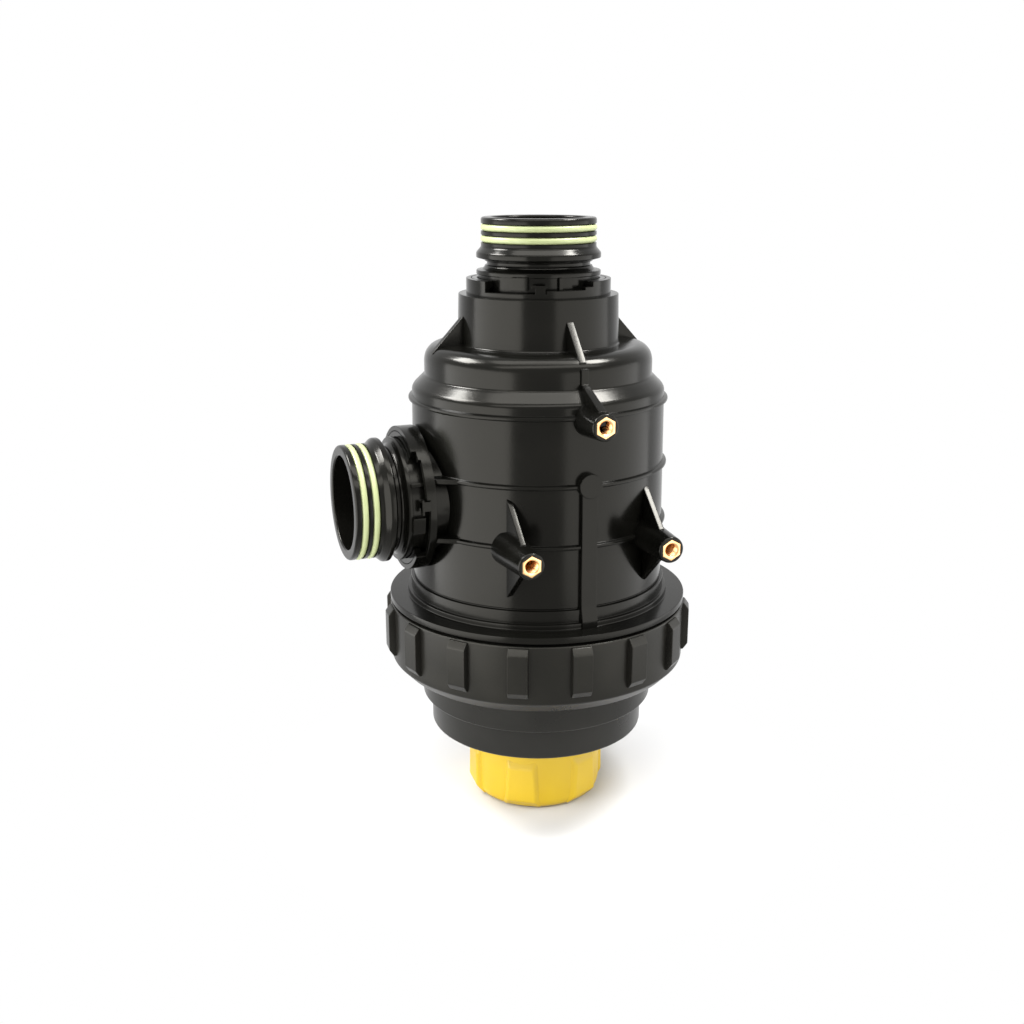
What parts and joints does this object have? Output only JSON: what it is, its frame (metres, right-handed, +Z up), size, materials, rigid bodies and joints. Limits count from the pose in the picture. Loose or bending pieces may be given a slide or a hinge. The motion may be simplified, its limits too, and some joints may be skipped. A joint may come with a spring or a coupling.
{
  "type": "suction filter",
  "caption": "Moulded suction filter with a side inlet spigot, a top outlet spigot, a strainer inside, a bowl held by a ribbed ring nut, a drain cap and bosses for bolts.",
  "frame": {"origin": "centre of the drain cap's flat underside, on the barrel's axis", "axes": "+Z up along the barrel's axis towards the top port, -X towards the side port, -Y towards the mounting bosses"},
  "size_m": [0.2017, 0.1789, 0.3353],
  "materials": {
    "black_plastic": "glossy moulded black plastic",
    "satin_black_plastic": "satin moulded black plastic",
    "lime_rubber": "smooth lime green seal rubber",
    "black_rubber": "smooth black seal rubber",
    "brass": "machined brass",
    "yellow_plastic": "satin yellow moulded plastic",
    "steel_mesh": "woven wire mesh",
    "cage_plastic": "plain moulded plastic"
  },
  "bodies": {
    "housing": {"filter_body": "black_plastic", "top_spigot": "black_plastic", "side_spigot": "black_plastic", "top_o_ring_outer": "lime_rubber", "top_o_ring_inner": "lime_rubber", "side_o_ring_outer": "lime_rubber", "side_o_ring_inner": "lime_rubber", "top_tail_o_ring": "black_rubber", "side_tail_o_ring": "black_rubber", "brass_insert_top": "brass", "brass_insert_left": "brass", "brass_insert_right": "brass"},
    "bowl_group": {"bowl": "satin_black_plastic", "bowl_o_ring": "black_rubber", "cartridge_mesh": "steel_mesh", "cartridge_cage": "cage_plastic", "cartridge_collar": "cage_plastic", "cartridge_base": "cage_plastic", "cartridge_o_ring": "black_rubber"},
    "ring_nut": {"ring_nut": "satin_black_plastic"},
    "drain_gasket": {"drain_gasket": "black_rubber"},
    "drain_cap": {"drain_cap": "yellow_plastic"}
  },
  "joints": [
    {"name": "bowl_lowering", "type": "slide", "parent": "housing", "child": "bowl_group", "axis": [0, 0, -1], "range_m": [0, 0.024]},
    {"name": "ring_nut_turn", "type": "hinge", "parent": "bowl_group", "child": "ring_nut", "pos_m": [0, 0, 0.1], "axis": [0, 0, -1], "range_deg": [0, 1440]},
    {"name": "gasket_lowering", "type": "slide", "parent": "bowl_group", "child": "drain_gasket", "axis": [0, 0, -1], "range_m": [0, 0.016]},
    {"name": "drain_cap_turn", "type": "hinge", "parent": "drain_gasket", "child": "drain_cap", "pos_m": [0, 0, 0.02], "axis": [0, 0, -1], "range_deg": [0, 1440]}
  ],
  "couplings": [
    {"joint": "bowl_lowering", "follows": "ring_nut_turn", "m_per_rad": 0.00095493},
    {"joint": "gasket_lowering", "follows": "drain_cap_turn", "m_per_rad": 0.00063662}
  ]
}
